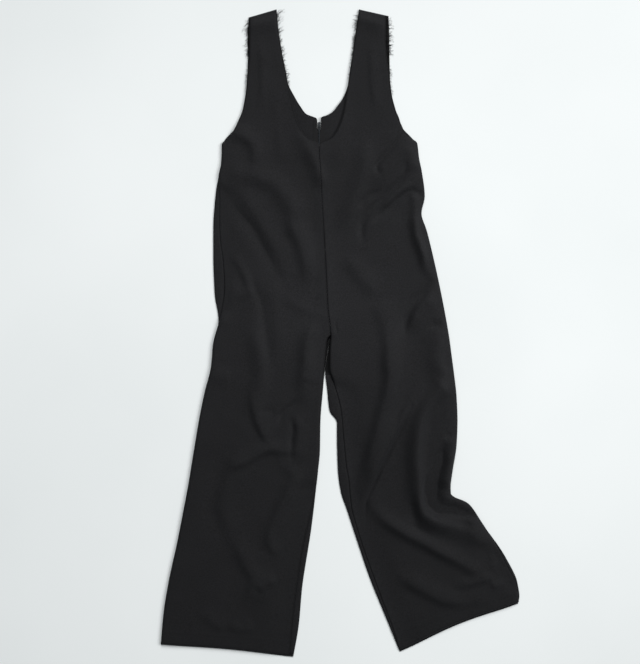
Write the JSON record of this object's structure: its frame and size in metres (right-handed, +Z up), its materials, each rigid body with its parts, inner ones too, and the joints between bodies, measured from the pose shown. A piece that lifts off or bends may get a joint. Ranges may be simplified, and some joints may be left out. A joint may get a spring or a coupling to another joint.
{
  "type": "sleeveless wide-leg overalls laid flat",
  "caption": "Black sleeveless wide-leg overalls laid flat, with a deep scooped neck, torn strap edges and a centre back zip.",
  "frame": {"origin": "on the surface it lies on, under the middle of its outline", "axes": "+Y towards the shoulders, +X towards the wearer's left, +Z up off the surface"},
  "size_m": [0.777, 1.4014, 0.0212],
  "materials": {
    "cloth": "matte suiting",
    "threads": "loose yarn",
    "zip_tape": "matte woven tape",
    "zip_coil": "satin nylon",
    "zip_metal": "satin"
  },
  "bodies": {
    "garment": {"front_right": "cloth", "front_left": "cloth", "back_right": "cloth", "back_left": "cloth", "zip_tape_right": "zip_tape", "zip_tape_left": "zip_tape", "zip_chain": "zip_coil", "zip_stop": "zip_metal", "zip_slider": "zip_metal", "fray_neck_right": "threads", "fray_neck_left": "threads", "fray_armhole_right": "threads", "fray_armhole_left": "threads"},
    "zip_pull": {"zip_pull_tab": "zip_metal"}
  },
  "joints": [
    {"name": "zip_pull_hinge", "type": "hinge", "parent": "garment", "child": "zip_pull", "pos_m": [-0.0455, 0.45178, 0.002], "axis": [1, 0, 0], "range_deg": [0, 170]}
  ]
}
